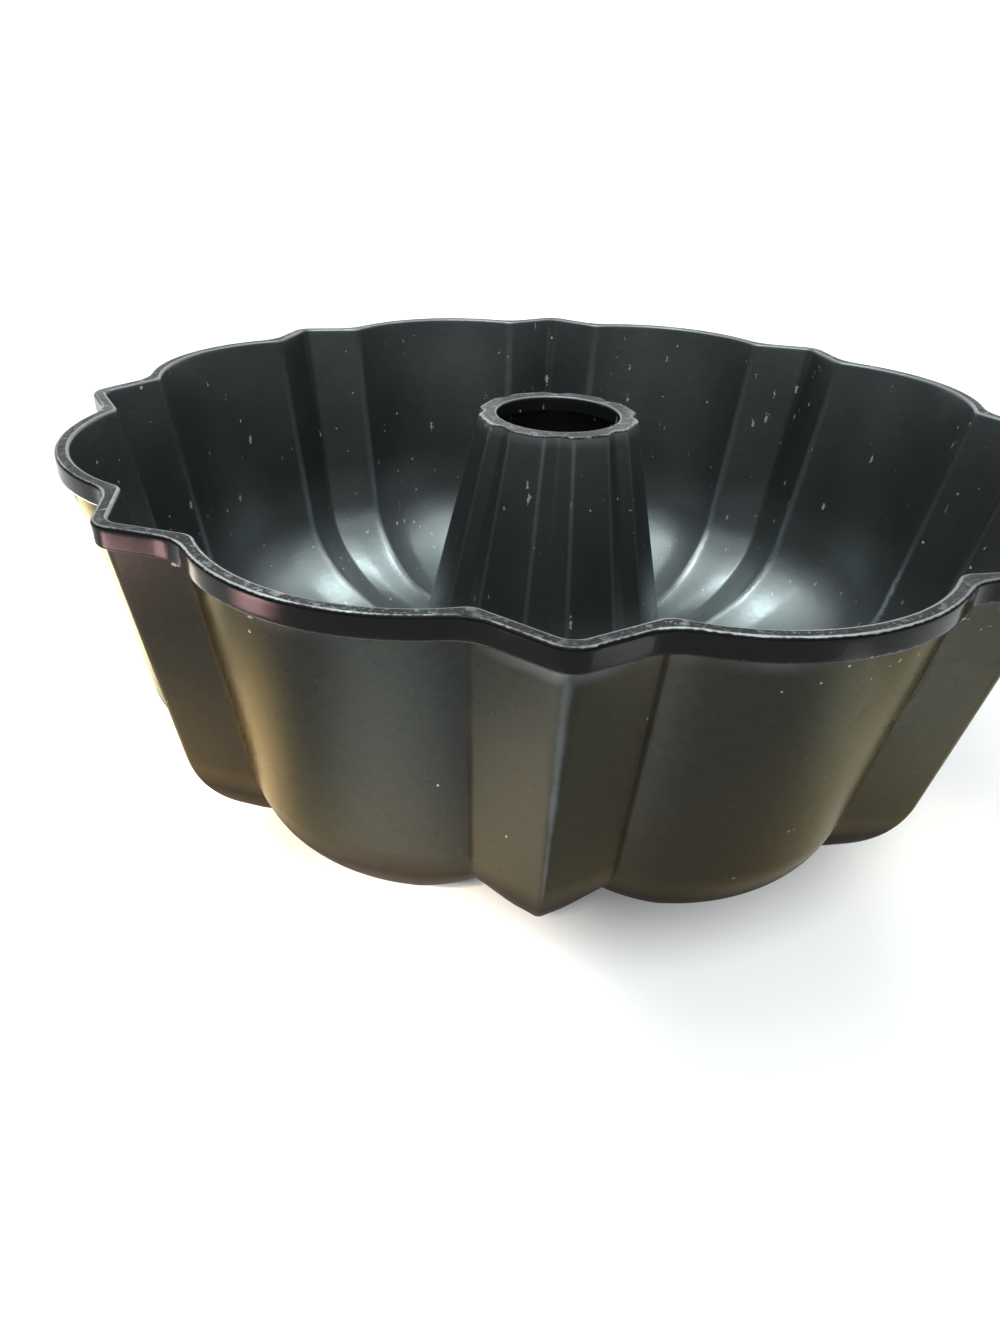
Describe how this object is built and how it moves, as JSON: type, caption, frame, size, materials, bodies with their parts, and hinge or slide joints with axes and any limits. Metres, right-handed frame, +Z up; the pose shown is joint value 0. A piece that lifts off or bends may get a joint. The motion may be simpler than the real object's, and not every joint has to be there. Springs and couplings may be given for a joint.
{
  "type": "fluted tube pan",
  "caption": "Round cast-aluminium baking pan with a fluted wall of ridges and lobes, a rounded floor and a hollow tapering centre tube, for ring cakes.",
  "frame": {"origin": "on the pan's axis, at the level of the flat ring of the floor that the pan stands on", "axes": "+Z up the centre tube towards the open rim; one ridge of the wall points along -Y, and the others follow every 45 degrees"},
  "size_m": [0.258, 0.258, 0.0925],
  "materials": {
    "bronze_coat": "satin bronze coating",
    "rim_coat": "glossy dark coating",
    "nonstick": "satin charcoal non-stick coating",
    "worn_land": "worn coating with bare metal at its edge"
  },
  "bodies": {
    "root": {"rim_band": "rim_coat", "fluted_wall": "bronze_coat", "fluted_floor": "bronze_coat", "centre_tube": "nonstick", "tube_collar": "worn_land"}
  },
  "joints": []
}
